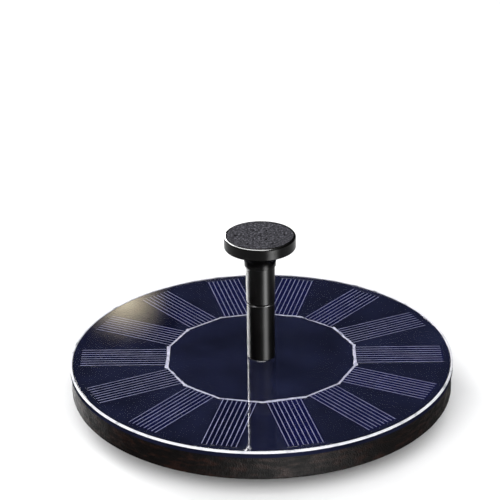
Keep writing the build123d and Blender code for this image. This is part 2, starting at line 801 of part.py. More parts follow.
with BuildPart() as upper_tube:
    with BuildSketch(Plane.XY.offset(upper_tube_bottom)):
        Circle(upper_tube_radius)
    extrude(amount=upper_tube_length)
    chamfer(upper_tube.edges().group_by(Axis.Z)[0], length=upper_tube_bevel)
    with BuildSketch(Plane.XY.offset(upper_tube_bottom)):
        Circle(nipple_radius)
    extrude(amount=-push_fit_depth)
    with BuildSketch(Plane.XY.offset(upper_tube_bottom - push_fit_depth)):
        Circle(riser_bore_radius)
    extrude(amount=push_fit_depth + upper_tube_length, mode=Mode.SUBTRACT)
    with BuildSketch(Plane.XY.offset(upper_tube_top)):
        Circle(socket_radius)
    extrude(amount=-push_fit_depth - socket_extra_depth, mode=Mode.SUBTRACT)

# ---------------------------------------------------------------- spray head
with BuildPart() as nozzle_body:
    shoulder_radius = head_radius - head_shoulder
    with BuildSketch(Plane.XZ):
        with BuildLine():
            flare = EllipticalCenterArc(
                (shoulder_radius, neck_top),
                shoulder_radius - head_neck_radius,
                rim_bottom - neck_top,
                start_angle=90,
                arc_size=90,
            )
            Polyline(
                flare @ 1,
                (head_neck_radius, head_bottom),
                (nipple_radius, head_bottom),
                (nipple_radius, head_bottom - push_fit_depth),
                (riser_bore_radius, head_bottom - push_fit_depth),
                (riser_bore_radius, neck_top + head_wall),
                (plenum_radius, plenum_bottom),
                (plenum_radius, plate_bottom),
                (plate_radius + contact_gap, plate_bottom),
                (plate_radius + contact_gap, head_top),
                (head_radius, head_top),
                (head_radius, rim_bottom),
                flare @ 0,
            )
        make_face()
    revolve(axis=Axis.Z)
    rim_edges = nozzle_body.edges().filter_by(GeomType.CIRCLE).group_by(SortBy.RADIUS)[-1]
    fillet(rim_edges.sort_by(Axis.Z)[-1], radius=head_rim_round)
    rim_edges = nozzle_body.edges().filter_by(GeomType.CIRCLE).group_by(SortBy.RADIUS)[-1]
    fillet(rim_edges.sort_by(Axis.Z)[0], radius=head_shoulder_round)

with BuildPart() as spray_plate:
    with BuildSketch(Plane.XY.offset(plate_bottom)):
        Circle(plate_radius)
    extrude(amount=plate_thickness)
    chamfer(spray_plate.edges().group_by(Axis.Z)[-1], length=plate_chamfer)
    with BuildSketch(Plane.XY.offset(plate_bottom)):
        Circle(jet_radius)
        for ring_radius, jet_count in jet_rings:
            with PolarLocations(ring_radius, jet_count):
                Circle(jet_radius)
    extrude(amount=plate_thickness, mode=Mode.SUBTRACT)

# ---------------------------------------------------------------- export
pieces = {
    "clear_cover": clear_cover,
    "edge_band": edge_band,
    "solar_cells": solar_cells,
    "cell_fingers": cell_fingers,
    "bus_ribbon": bus_ribbon,
    "panel_board": panel_board,
    "terminal_pads": terminal_pads,
    "foam_float": foam_float,
    "pump_housing": pump_housing,
    "housing_sealant": housing_sealant,
    "nipple_seal": nipple_seal,
    "rotor_magnet": rotor_magnet,
    "impeller": impeller,
    "rotor_bush": rotor_bush,
    "shaft": shaft,
    "shaft_seats": shaft_seats,
    "thrust_washers": thrust_washers,
    "stator_core": stator_core,
    "stator_bobbins": stator_bobbins,
    "stator_coils": stator_coils,
    "driver_board": driver_board,
    "driver_components": driver_components,
    "potting_resin": potting_resin,
    "red_lead": red_lead,
    "black_lead": black_lead,
    "pump_cover": pump_cover,
    "cover_gasket": cover_gasket,
    "cover_screws": cover_screws,
    "strainer_cover": strainer_cover,
    "lower_tube": lower_tube,
    "upper_tube": upper_tube,
    "nozzle_body": nozzle_body,
    "spray_plate": spray_plate,
}
os.makedirs("parts", exist_ok=True)
for name, piece in pieces.items():
    piece.part.label = name
    export_step(piece.part, f"parts/{name}.step")
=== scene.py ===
import json
import random
from math import cos, pi, radians, sin, tan

import bpy
from mathutils import Matrix, Vector


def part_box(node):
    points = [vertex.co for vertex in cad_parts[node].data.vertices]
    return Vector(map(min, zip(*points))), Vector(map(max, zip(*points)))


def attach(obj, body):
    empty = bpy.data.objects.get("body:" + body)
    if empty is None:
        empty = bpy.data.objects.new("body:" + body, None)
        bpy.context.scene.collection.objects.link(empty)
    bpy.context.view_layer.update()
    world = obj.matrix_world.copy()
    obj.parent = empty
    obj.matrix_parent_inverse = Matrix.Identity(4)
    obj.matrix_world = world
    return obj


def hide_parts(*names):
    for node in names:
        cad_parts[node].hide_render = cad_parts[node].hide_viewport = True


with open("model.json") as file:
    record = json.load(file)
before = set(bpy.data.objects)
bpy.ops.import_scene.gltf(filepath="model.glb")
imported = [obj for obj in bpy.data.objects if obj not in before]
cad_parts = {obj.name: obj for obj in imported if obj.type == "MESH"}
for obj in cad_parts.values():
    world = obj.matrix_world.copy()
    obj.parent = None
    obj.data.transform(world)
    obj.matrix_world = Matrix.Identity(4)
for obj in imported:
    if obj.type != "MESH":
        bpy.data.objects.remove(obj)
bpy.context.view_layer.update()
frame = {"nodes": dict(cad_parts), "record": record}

# A floating solar fountain pump: a round solar panel on a foam ring, with a small pump under its
# middle and a two-piece riser and spray head standing on it. Everything is in metres, in the
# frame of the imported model, with the strainer's flat base on the floor.

nodes = frame["nodes"]
bpy.ops.object.select_all(action="DESELECT")


# ---------------------------------------------------------------- small helpers
def mm(size):
    """A size in millimetres, in metres."""
    return size / 1000


def grains(size):
    """The texture scale that draws about one feature every so many millimetres."""
    return 1000 / size


def bands(pitch):
    """The wave scale that draws one band every so many millimetres.

    A wave texture repeats about three times in a unit at a scale of 10.
    """
    return 0.314 * grains(pitch)


def linear(colour):
    """An sRGB hex colour as linear red, green and blue, with an alpha of 1."""
    values = [int(colour[place : place + 2], 16) / 255 for place in (1, 3, 5)]
    return [v / 12.92 if v <= 0.04045 else ((v + 0.055) / 1.055) ** 2.4 for v in values] + [1]


def node(tree, kind, settings=None, links=None):
    """Adds one shader node. A setting is an input's name or number, a property, or a ramp's stops."""
    made = tree.nodes.new("ShaderNode" + kind)
    for name, value in (settings or {}).items():
        if name == "stops":
            ramp = made.color_ramp.elements
            while len(ramp) < len(value):
                ramp.new(1)
            for stop, (place, colour) in zip(ramp, value):
                stop.position = place
                stop.color = linear(colour)
        elif isinstance(name, int) or name in made.inputs:
            made.inputs[name].default_value = value
        else:
            setattr(made, name, value)
    for name, source in (links or {}).items():
        tree.links.new(source, made.inputs[name])
    return made


def begin(name, settings):
    """A new material with one main shader. Returns it, its tree, the place in metres and the shader."""
    material = bpy.data.materials.new(name)
    material.use_nodes = True
    tree = material.node_tree
    tree.nodes.clear()
    place = node(tree, "TexCoord").outputs["Object"]
    shader = node(tree, "BsdfPrincipled", settings)
    node(tree, "OutputMaterial", {}, {"Surface": shader.outputs["BSDF"]})
    return material, tree, place, shader


def worked(name, tones, settings, patch, gloss, grain, relief):
    """A finish that drifts between two tones and two roughnesses over patches, with a fine grain.

    tones and gloss each hold two ends. patch and grain are the sizes of one feature and relief is
    the grain's depth, in millimetres.
    """
    low, high = 0.32, 0.68  # nearly all of a noise texture's values lie between these
    material, tree, place, shader = begin(name, settings)
    patches = node(tree, "TexNoise", {"Scale": grains(patch), "Detail": 4.0}, {"Vector": place})
    drift = patches.outputs["Fac"]
    stops = ((low, tones[0]), (high, tones[1]))
    tone = node(tree, "ValToRGB", {"stops": stops}, {"Fac": drift})
    limits = {"From Min": low, "From Max": high, "To Min": gloss[0], "To Max": gloss[1]}
    sheen = node(tree, "MapRange", limits, {"Value": drift})
    texture = node(tree, "TexNoise", {"Scale": grains(grain), "Detail": 2.0}, {"Vector": place})
    bump = node(tree, "Bump", {"Distance": mm(relief)}, {"Height": texture.outputs["Fac"]})
    tree.links.new(tone.outputs["Color"], shader.inputs["Base Color"])
    tree.links.new(sheen.outputs["Result"], shader.inputs["Roughness"])
    tree.links.new(bump.outputs["Normal"], shader.inputs["Normal"])
    return material


# ---------------------------------------------------------------- finishes of the panel
def cast_acrylic():
    """Cast acrylic sheet, polished: water-clear, mirror-smooth, with a few fine wiping marks."""
    settings = {"Base Color": linear("#f6f6fa"), "Transmission Weight": 1.0, "IOR": 1.49}
    material, tree, place, shader = begin("cast_acrylic_polished", settings)
    smears = node(tree, "TexNoise", {"Scale": grains(30), "Detail": 5.0}, {"Vector": place})
    limits = {"From Min": 0.3, "From Max": 0.75, "To Min": 0.01, "To Max": 0.05}
    gloss = node(tree, "MapRange", limits, {"Value": smears.outputs["Fac"]})
    tree.links.new(gloss.outputs["Result"], shader.inputs["Roughness"])
    # Lamps shine straight through it, as they do through a thin flat sheet.
    path = node(tree, "LightPath")
    clear = node(tree, "BsdfTransparent", {"Color": linear("#f2f2f8")})
    mix = node(tree, "MixShader", {}, {0: path.outputs["Is Shadow Ray"]})
    tree.links.new(shader.outputs["BSDF"], mix.inputs[1])
    tree.links.new(clear.outputs["BSDF"], mix.inputs[2])
    output = next(n for n in tree.nodes if n.type == "OUTPUT_MATERIAL")
    tree.links.new(mix.outputs["Shader"], output.inputs["Surface"])
    return material


def coated_silicon():
    """Monocrystalline silicon with a nitride coat: blue-violet that drifts from cell to cell."""
    # It is bonded under the cover, so it has no gloss of its own.
    settings = {"IOR": 1.8, "Specular IOR Level": 0.0}
    material, tree, place, shader = begin("silicon_nitride_coated", settings)
    cells = node(tree, "TexNoise", {"Scale": grains(55), "Detail": 1.0}, {"Vector": place})
    stops = ((0.35, "#04061a"), (0.5, "#070926"), (0.65, "#0c0e34"))
    tone = node(tree, "ValToRGB", {"stops": stops}, {"Fac": cells.outputs["Fac"]})
    cloud = node(tree, "TexNoise", {"Scale": grains(2.5), "Detail": 4.0}, {"Vector": place})
    limits = {"From Min": 0.3, "From Max": 0.7, "To Min": 0.8, "To Max": 1.15}
    shade = node(tree, "MapRange", limits, {"Value": cloud.outputs["Fac"]})
    deep = node(tree, "VectorMath", {"operation": "SCALE"})
    tree.links.new(tone.outputs["Color"], deep.inputs[0])
    tree.links.new(shade.outputs["Result"], deep.inputs["Scale"])
    tree.links.new(deep.outputs["Vector"], shader.inputs["Base Color"])
    limits = {"From Min": 0.3, "From Max": 0.7, "To Min": 0.3, "To Max": 0.45}
    gloss = node(tree, "MapRange", limits, {"Value": cloud.outputs["Fac"]})
    tree.links.new(gloss.outputs["Result"], shader.inputs["Roughness"])
    return material


def laminated_board():
    """Glass-epoxy board with a navy mask: deep and even, with slow clouds and a faint grain."""
    tones = ("#101221", "#1a1d31")
    # It is bonded under the cover, so it has no gloss of its own.
    settings = {"IOR": 1.5, "Specular IOR Level": 0.0}
    return worked(
        "glass_epoxy_navy_mask", tones, settings,
        patch=22, gloss=(0.4, 0.5), grain=0.9, relief=0.01,
    )


def rim_painted_highlight():
    """Epoxy band round the rim: bright white, a painted highlight along the panel's rounded edge, with
    grey nicks and slow waves.
    """
    material, tree, place, shader = begin("sealing_resin_white", {"IOR": 1.5, "Roughness": 0.35})
    nicks = node(tree, "TexNoise", {"Scale": grains(5), "Detail": 3.0}, {"Vector": place})
    # The band's bright white is painted highlight for the light caught along the panel's edge.
    stops = ((0.28, "#9b9ca2"), (0.4, "#dedee4"), (0.7, "#f6f6fb"))
    tone = node(tree, "ValToRGB", {"stops": stops}, {"Fac": nicks.outputs["Fac"]})
    tree.links.new(tone.outputs["Color"], shader.inputs["Base Color"])
    bump = node(tree, "Bump", {"Distance": mm(0.06)}, {"Height": nicks.outputs["Fac"]})
    tree.links.new(bump.outputs["Normal"], shader.inputs["Normal"])
    return material


def fired_silver():
    """Silver paste, screen-printed and fired: a matt lavender grey through the coat on the cells."""
    settings = {"Metallic": 0.2}
    tones = ("#74768f", "#9799b4")
    return worked(
        "silver_paste_fired", tones, settings,
        patch=4.0, gloss=(0.45, 0.6), grain=0.12, relief=0.01,
    )


def tinned_ribbon():
    """Copper ribbon dipped in solder: bright and silver-white, with slow waves where it set."""
    settings = {"Metallic": 0.45}
    tones = ("#b9b9c8", "#f2f2f8")
    return worked(
        "copper_ribbon_tinned", tones, settings,
        patch=2.2, gloss=(0.25, 0.45), grain=0.7, relief=0.05,
    )


# ---------------------------------------------------------------- finish of the float
def closed_cell_foam():
    """Black EVA foam, sawn: matt brown-black in long patches, its cut cells drawn as dark specks of
    painted shade.
    """
    # Its cut cells trap the light, so it mirrors far less than solid EVA.
    settings = {"IOR": 1.2, "Specular IOR Level": 0.07}
    material, tree, place, shader = begin("eva_foam_sawn", settings)
    # The saw's marks run round the ring, so the patches are drawn out level.
    drawn = node(tree, "Mapping", {"Scale": (1, 1, 3.5)}, {"Vector": place})
    long_marks = drawn.outputs["Vector"]
    patches = node(tree, "TexNoise", {"Scale": grains(6), "Detail": 6.0}, {"Vector": long_marks})
    stops = ((0.34, "#040202"), (0.5, "#0b0605"), (0.68, "#24140f"))
    tone = node(tree, "ValToRGB", {"stops": stops}, {"Fac": patches.outputs["Fac"]})
    # The real cells are about 0.3 mm across; they are drawn at 0.6 mm so that they show.
    cells = node(tree, "TexVoronoi", {"Scale": grains(0.6)}, {"Vector": place})
    # Each cell is darkened towards its middle in the colour: painted shade in its hollow.
    stops = ((0.0, "#5a5a5a"), (0.4, "#d0d0d0"), (1.0, "#ffffff"))
    pits = node(tree, "ValToRGB", {"stops": stops}, {"Fac": cells.outputs["Distance"]})
    mix = node(tree, "Mix", {"data_type": "RGBA", "blend_type": "MULTIPLY", 0: 0.7})
    tree.links.new(tone.outputs["Color"], mix.inputs[6])
    tree.links.new(pits.outputs["Color"], mix.inputs[7])
    tree.links.new(mix.outputs[2], shader.inputs["Base Color"])
    limits = {"From Min": 0.3, "From Max": 0.7, "To Min": 0.65, "To Max": 0.45}
    gloss = node(tree, "MapRange", limits, {"Value": patches.outputs["Fac"]})
    tree.links.new(gloss.outputs["Result"], shader.inputs["Roughness"])
    bump = node(tree, "Bump", {"Distance": mm(0.12)}, {"Height": cells.outputs["Distance"]})
    tree.links.new(bump.outputs["Normal"], shader.inputs["Normal"])
    return material


# ---------------------------------------------------------------- finishes of the pump and its riser
def moulded_black_abs():
    """ABS from a lightly eroded mould: black and satin, with a fine even grain."""
    tones = ("#0e0d0f", "#191719")
    return worked(
        "abs_moulded_black", tones, {"IOR": 1.53},
        patch=14, gloss=(0.42, 0.55), grain=0.35, relief=0.015,
    )


def moulded_riser():
    """ABS tube from a polished mould: near-black, smooth, with long soft highlights."""
    tones = ("#010101", "#030202")
    settings = {"IOR": 1.53, "Specular IOR Level": 0.06}
    return worked(
        "abs_polished_tube", tones, settings,
        patch=8, gloss=(0.3, 0.36), grain=0.6, relief=0.004,
    )


def moulded_head():
    """ABS from a polished mould: near-black, and smooth enough for its rim to draw a bright line."""
    tones = ("#020202", "#050404")
    settings = {"IOR": 1.53, "Specular IOR Level": 0.06}
    return worked(
        "abs_polished_head", tones, settings,
        patch=7, gloss=(0.2, 0.26), grain=0.5, relief=0.004,
    )


def moulded_plate():
    """ABS from an eroded mould: dark grey and grainy, which hides water marks."""
    settings = {"IOR": 1.53}
    material, tree, place, shader = begin("abs_eroded_plate", settings)
    specks = node(tree, "TexNoise", {"Scale": grains(0.8), "Detail": 3.0}, {"Vector": place})
    stops = ((0.38, "#131216"), (0.52, "#2b2a30"), (0.64, "#74737b"))
    tone = node(tree, "ValToRGB", {"stops": stops}, {"Fac": specks.outputs["Fac"]})
    tree.links.new(tone.outputs["Color"], shader.inputs["Base Color"])
    limits = {"From Min": 0.3, "From Max": 0.7, "To Min": 0.55, "To Max": 0.35}
    gloss = node(tree, "MapRange", limits, {"Value": specks.outputs["Fac"]})
    tree.links.new(gloss.outputs["Result"], shader.inputs["Roughness"])
    bump = node(tree, "Bump", {"Distance": mm(0.05)}, {"Height": specks.outputs["Fac"]})
    tree.links.new(bump.outputs["Normal"], shader.inputs["Normal"])
    return material


def silicone_sealant():
    """Silicone sealant, tooled wet: light grey and soft, with slow ripples."""
    tones = ("#b0b1b2", "#c6c7c8")
    return worked(
        "silicone_sealant_grey", tones, {"IOR": 1.41},
        patch=5, gloss=(0.35, 0.5), grain=2.5, relief=0.08,
    )


def moulded_rubber():
    """Nitrile rubber, pressed: dull black with a bloom that lightens it in patches."""
    settings = {"IOR": 1.52, "Sheen Weight": 0.1}
    tones = ("#0f0f10", "#1f1f20")
    return worked(
        "nitrile_rubber_moulded", tones, settings,
        patch=3, gloss=(0.6, 0.75), grain=0.4, relief=0.02,
    )


# ---------------------------------------------------------------- finishes inside the pump
def ground_ferrite():
    """Sintered ferrite, ground: dark grey, faintly metallic, with fine pits."""
    tones = ("#2c2c2f", "#434347")
    return worked(
        "ferrite_sintered", tones, {"IOR": 2.3},
        patch=2.5, gloss=(0.45, 0.6), grain=0.25, relief=0.02,
    )


def moulded_acetal():
    """Acetal, moulded: milky white and slick, a little see-through at its edges."""
    settings = {"IOR": 1.48, "Subsurface Weight": 0.1}
    tones = ("#dcdcd6", "#ecece8")
    return worked(
        "acetal_moulded_white", tones, settings,
        patch=6, gloss=(0.3, 0.4), grain=0.5, relief=0.008,
    )


def carbon_bush():
    """Carbon-filled plastic bush: charcoal and dull, with a fine dark grain."""
    tones = ("#343436", "#454547")
    return worked(
        "carbon_filled_bush", tones, {"IOR": 1.55},
        patch=1.5, gloss=(0.5, 0.6), grain=0.15, relief=0.01,
    )


def ground_ceramic():
    """Alumina rod, ground and polished: ivory white, hard gloss with fine grey specks."""
    tones = ("#d9d5c8", "#efece2")
    return worked(
        "alumina_ground", tones, {"IOR": 1.76},
        patch=0.8, gloss=(0.12, 0.22), grain=0.1, relief=0.003,
    )


def pressed_washer():
    """PTFE washer, stamped: cloudy white, waxy."""
    tones = ("#cfd0cf", "#e6e6e4")
    return worked(
        "ptfe_washer_stamped", tones, {"IOR": 1.38},
        patch=1.0, gloss=(0.45, 0.55), grain=0.2, relief=0.008,
    )


def stacked_laminations():
    """Silicon-steel laminations, stamped and stacked: blue-grey, ruled with the sheets' edges."""
    settings = {"Metallic": 0.85, "Roughness": 0.45}
    material, tree, place, shader = begin("silicon_steel_laminated", settings)
    sheet = 0.5
    stack = {"wave_type": "BANDS", "bands_direction": "Z", "Scale": bands(sheet)}
    edges = node(tree, "TexWave", stack, {"Vector": place})
    stops = ((0.0, "#3b3f45"), (0.3, "#8d9299"), (1.0, "#a9aeb4"))
    tone = node(tree, "ValToRGB", {"stops": stops}, {"Fac": edges.outputs["Fac"]})
    bump = node(tree, "Bump", {"Distance": mm(0.03)}, {"Height": edges.outputs["Fac"]})
    tree.links.new(tone.outputs["Color"], shader.inputs["Base Color"])
    tree.links.new(bump.outputs["Normal"], shader.inputs["Normal"])
    return material


def enamelled_wire():
    """Copper wire in red-brown enamel: warm and glossy, ridged turn by turn, with painted shade in the
    grooves and painted highlight on the crowns.
    """
    settings = {"Metallic": 0.8, "Roughness": 0.3, "Coat Weight": 0.6}
    material, tree, place, shader = begin("copper_wire_enamelled", settings)
    # The real wire is 0.1 mm thick; the turns are drawn 0.25 mm apart so that they show.
    turn = 0.25
    wound = {"wave_type": "RINGS", "rings_direction": "Z", "Scale": bands(turn)}
    low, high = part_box("stator_core")
    centred = {"Location": tuple(-(low + high) / 2)}
    moved = node(tree, "Mapping", centred, {"Vector": place})
    ridges_and_painted_shade = node(tree, "TexWave", wound, {"Vector": moved.outputs["Vector"]})
    # Each turn runs from dark to light in its colour: painted shade in the grooves and painted
    # highlight on the crowns.
    stops = ((0.0, "#4a1d0c"), (0.5, "#b5602f"), (1.0, "#d98a52"))
    tone = node(tree, "ValToRGB", {"stops": stops}, {"Fac": ridges_and_painted_shade.outputs["Fac"]})
    bump = node(tree, "Bump", {"Distance": mm(0.05)}, {"Height": ridges_and_painted_shade.outputs["Fac"]})
    tree.links.new(tone.outputs["Color"], shader.inputs["Base Color"])
    tree.links.new(bump.outputs["Normal"], shader.inputs["Normal"])
    return material


def green_board():
    """Glass-epoxy board with a green mask: glossy and faintly mottled."""
    tones = ("#0f4a2a", "#176037")
    return worked(
        "glass_epoxy_green_mask", tones, {"IOR": 1.5},
        patch=1.6, gloss=(0.25, 0.4), grain=0.4, relief=0.01,
    )


def moulded_chips():
    """Epoxy chip packages, transfer-moulded: charcoal, matt and very finely grained."""
    tones = ("#1a1a1c", "#29292c")
    return worked(
        "epoxy_chip_moulded", tones, {"IOR": 1.55},
        patch=1.2, gloss=(0.55, 0.7), grain=0.12, relief=0.01,
    )


def cast_resin():
    """Potting epoxy, poured: black and glossy, its surface level with slow ripples."""
    tones = ("#0b0b0d", "#17171a")
    return worked(
        "epoxy_potting_black", tones, {"IOR": 1.55},
        patch=6, gloss=(0.12, 0.25), grain=4.0, relief=0.1,
    )


def red_silicone():
    """Red silicone lead: soft satin with a powdery bloom."""
    tones = ("#8e1512", "#b3231c")
    return worked(
        "silicone_lead_red", tones, {"IOR": 1.41},
        patch=2.0, gloss=(0.45, 0.6), grain=0.25, relief=0.01,
    )


def black_silicone():
    """Black silicone lead: soft satin with a powdery bloom."""
    tones = ("#111112", "#222224")
    return worked(
        "silicone_lead_black", tones, {"IOR": 1.41},
        patch=2.0, gloss=(0.45, 0.6), grain=0.25, relief=0.01,
    )


def bright_steel():
    """Stainless screws, cold-headed: bright grey metal, lightly scuffed."""
    settings = {"Metallic": 1.0}
    tones = ("#a5a7aa", "#c9cacc")
    return worked(
        "stainless_cold_headed", tones, settings,
        patch=0.9, gloss=(0.2, 0.38), grain=0.2, relief=0.008,
    )


def tinned_pads():
    """Copper pads tinned by hand: bright, domed and slightly uneven."""
    settings = {"Metallic": 0.9}
    tones = ("#b4b5b8", "#dcdde0")
    return worked(
        "copper_pad_tinned", tones, settings,
        patch=0.9, gloss=(0.2, 0.35), grain=0.6, relief=0.05,
    )


finishes = {
    "clear_cover": cast_acrylic(),
    "edge_band": rim_painted_highlight(),
    "solar_cells": coated_silicon(),
    "silver_fingers": fired_silver(),
    "tinned_ribbon": tinned_ribbon(),
    "panel_board": laminated_board(),
    "tinned_copper": tinned_pads(),
    "black_foam": closed_cell_foam(),
    "black_plastic": moulded_black_abs(),
    "sealant": silicone_sealant(),
    "black_rubber": moulded_rubber(),
    "ferrite": ground_ferrite(),
    "white_plastic": moulded_acetal(),
    "bush_plastic": carbon_bush(),
    "ceramic": ground_ceramic(),
    "washer_plastic": pressed_washer(),
    "core_steel": stacked_laminations(),
    "enamelled_wire": enamelled_wire(),
    "green_board": green_board(),
    "chip_plastic": moulded_chips(),
    "potting_resin": cast_resin(),
    "red_insulation": red_silicone(),
    "black_insulation": black_silicone(),
    "stainless_steel": bright_steel(),
    "riser_plastic": moulded_riser(),
    "head_plastic": moulded_head(),
    "plate_plastic": moulded_plate(),
}

for part in frame["record"]["subparts"]:
    slots = nodes[part["node"]].data.materials
    slots.clear()
    slots.append(finishes[part["material_slot"]])


# ---------------------------------------------------------------- the float and the ribbon
def finish_piece(piece, name, slot, body):
    """Names a finished piece, gives it its finish and lets it ride on its body."""
    piece.name = name
    piece.data.name = name
    piece.data.materials.append(finishes[slot])
    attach(piece, body)


def pick(piece, kind, test):
    """Selects the vertices, or the edges by their middles, that pass the test, in edit mode."""
    bpy.ops.object.mode_set(mode="OBJECT")
    mesh = piece.data
    for element in (*mesh.vertices, *mesh.edges, *mesh.polygons):
        element.select = False
    if kind == "vertices":
        for corner in mesh.vertices:
            corner.select = test(corner.co)
    else:
        for edge in mesh.edges:
            ends = [mesh.vertices[corner] for corner in edge.vertices]
            if test((ends[0].co + ends[1].co) / 2):
                for element in (edge, *ends):
                    element.select = True
    bpy.ops.object.mode_set(mode="EDIT")


def foam_float():
    """The foam ring: a sawn ring whose cut side is a little uneven, spun from its section."""
    low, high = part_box("foam_float")
    outer, bottom, top = high.x, low.z, high.z
    hole_gap = mm(1.0)  # from the sealant round the pump out to the ring's hole
    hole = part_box("housing_sealant")[1].x + hole_gap
    near = mm(0.01)  # what lies this close to a face of the ring counts as on it
    steps = 900  # round the ring
    fade_depth = mm(1.2)  # how deep behind the cut side its unevenness fades out
    fade_rise = mm(1.0)  # and how far from the side's two edges it comes in
    middle = Vector(((outer + hole) / 2, 0, (bottom + top) / 2))
    bpy.ops.mesh.primitive_plane_add(size=1, location=middle, rotation=(pi / 2, 0, 0))
    ring = bpy.context.object
    ring.scale = (outer - hole, top - bottom, 1)
    bpy.ops.object.transform_apply(location=True, rotation=True, scale=True)
    bpy.ops.object.mode_set(mode="EDIT")
    bpy.ops.mesh.select_mode(type="VERT")
    bpy.ops.mesh.select_all(action="SELECT")
    bpy.ops.mesh.delete(type="ONLY_FACE")
    for rounding, segments, test in (
        (mm(1.0), 6, lambda at: at.x > outer - near and at.z < bottom + near),
        (mm(0.25), 3, lambda at: at.x > outer - near and at.z > top - near),
    ):
        pick(ring, "vertices", test)
        bpy.ops.mesh.bevel(affect="VERTICES", offset=rounding, segments=segments, profile=0.5)
    for cuts, test in (
        (26, lambda at: at.x > outer - near),
        (10, lambda at: at.z < bottom + near),
        (4, lambda at: at.z > top - near),
        (2, lambda at: at.x < hole + near),
    ):
        pick(ring, "edges", test)
        bpy.ops.mesh.subdivide(number_cuts=cuts)
    bpy.ops.mesh.select_all(action="SELECT")
    bpy.ops.mesh.spin(steps=steps, angle=2 * pi, center=(0, 0, 0), axis=(0, 0, 1))
    bpy.ops.mesh.select_all(action="SELECT")
    bpy.ops.mesh.remove_doubles(threshold=mm(0.002))
    bpy.ops.mesh.normals_make_consistent(inside=False)
    bpy.ops.object.mode_set(mode="OBJECT")
    side = ring.vertex_groups.new(name="cut_side")
    for corner in ring.data.vertices:
        depth = outer - corner.co.to_2d().length
        rise = min(corner.co.z - bottom, top - corner.co.z)
        weight = max(0, 1 - depth / fade_depth) * min(1, max(0, rise / fade_rise))
        side.add([corner.index], weight, "REPLACE")
    for label, size, strength in (("saw_waves", 7.0, 0.34), ("torn_cells", 1.4, 0.22)):
        texture = bpy.data.textures.new(label, type="CLOUDS")
        texture.noise_scale = mm(size)
        texture.noise_depth = 2
        wave = ring.modifiers.new(label, "DISPLACE")
        wave.texture = texture
        wave.strength = mm(strength)
        wave.mid_level = 0.75  # mostly inwards, so that the ring stays inside its solid
        wave.vertex_group = side.name
        bpy.ops.object.modifier_apply(modifier=label)
    ring.vertex_groups.clear()
    bpy.ops.object.shade_smooth_by_angle(angle=radians(40))
    finish_piece(ring, "foam_ring_sawn", "black_foam", "float")
    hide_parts("foam_float")
    bpy.ops.object.select_all(action="DESELECT")
    return ring


def hand_laid_ribbon():
    """The ribbon that joins the cells: 14 strips laid by hand, overlapped and soldered."""
    draw = random.Random(14)
    low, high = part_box("bus_ribbon")
    strips = 14
    usual_width = mm(1.0)  # before the strips are cut and pressed
    apothem = high.x - usual_width / 2
    side = 2 * apothem * tan(pi / strips)
    mid_strip = mm(0.1)  # the long edges have their middles within it
    thickness = mm(0.13)
    lift = mm(0.1)  # of every other strip, whose ends lie on its neighbours'
    pinched = mm(2.0)  # the length at each end that is pressed wider or narrower
    dab_height = mm(0.125)
    made = []
    for turn in range(strips):
        bearing = 2 * pi * turn / strips
        overlap = mm(draw.uniform(0.7, 1.5))
        width = mm(draw.choice((0.62, 0.75, 0.85, 0.95, 1.3)))
        level = low.z + thickness / 2 + (lift if turn % 2 else 0)
        bpy.ops.mesh.primitive_cube_add(size=1, location=(0, 0, level))
        strip = bpy.context.object
        strip.scale = (width, side + overlap, thickness)
        bpy.ops.object.transform_apply(location=True, rotation=True, scale=True)
        pick(strip, "edges", lambda at: abs(at.y) < mid_strip)
        bpy.ops.mesh.subdivide(number_cuts=11)
        for end in (-1, 1):
            tip = end * side / 2
            pick(strip, "vertices", lambda at: (at.y - tip) * end > -pinched)
            bpy.ops.transform.resize(value=(draw.uniform(0.75, 1.35), 1, 1))
        bpy.ops.object.mode_set(mode="OBJECT")
        strip.location = (apothem * cos(bearing), apothem * sin(bearing), 0)
        strip.rotation_euler = (0, 0, bearing + radians(draw.uniform(-0.7, 0.7)))
        bpy.ops.object.transform_apply(location=True, rotation=True, scale=True)
        made.append(strip)
    corner = apothem / cos(pi / strips)
    for turn in range(strips):
        bearing = 2 * pi * (turn + 0.5) / strips
        place = (corner * cos(bearing), corner * sin(bearing), low.z + dab_height)
        bpy.ops.mesh.primitive_uv_sphere_add(segments=20, ring_count=10, radius=1)
        dab = bpy.context.object
        dab.scale = (mm(draw.uniform(0.45, 0.8)), mm(draw.uniform(0.6, 1.3)), dab_height)
        dab.rotation_euler = (0, 0, bearing + draw.uniform(-0.5, 0.5))
        dab.location = place
        bpy.ops.object.transform_apply(location=True, rotation=True, scale=True)
        made.append(dab)
    for piece in made:
        piece.select_set(True)
    bpy.context.view_layer.objects.active = made[0]
    bpy.ops.object.join()
    ribbon = bpy.context.object
    bpy.ops.object.mode_set(mode="EDIT")
    bpy.ops.mesh.select_all(action="SELECT")
    bpy.ops.mesh.normals_make_consistent(inside=False)
    bpy.ops.object.mode_set(mode="OBJECT")
    texture = bpy.data.textures.new("laid_wander", type="CLOUDS")
    texture.noise_scale = mm(4.0)
    for axis in ("X", "Y"):
        wander = ribbon.modifiers.new("wander_" + axis, "DISPLACE")
        wander.texture = texture
        wander.direction = axis
        wander.strength = mm(0.9)
        bpy.ops.object.modifier_apply(modifier=wander.name)
    bpy.ops.object.shade_smooth_by_angle(angle=radians(35))
    finish_piece(ribbon, "cell_ribbon_laid", "tinned_ribbon", "float")
    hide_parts("bus_ribbon")
    bpy.ops.object.select_all(action="DESELECT")
    return ribbon


foam = foam_float()
hand_laid_ribbon()


# ---------------------------------------------------------------- floor, light and camera
def round_about(bearing, elevation, distance):
    """A place at a bearing left of straight behind, an elevation and a distance from the panel."""
    panel_level = mm(25)
    flat = distance * cos(radians(elevation))
    left = -flat * sin(radians(bearing))
    back = flat * cos(radians(bearing))
    return (left, back, panel_level + distance * sin(radians(elevation)))


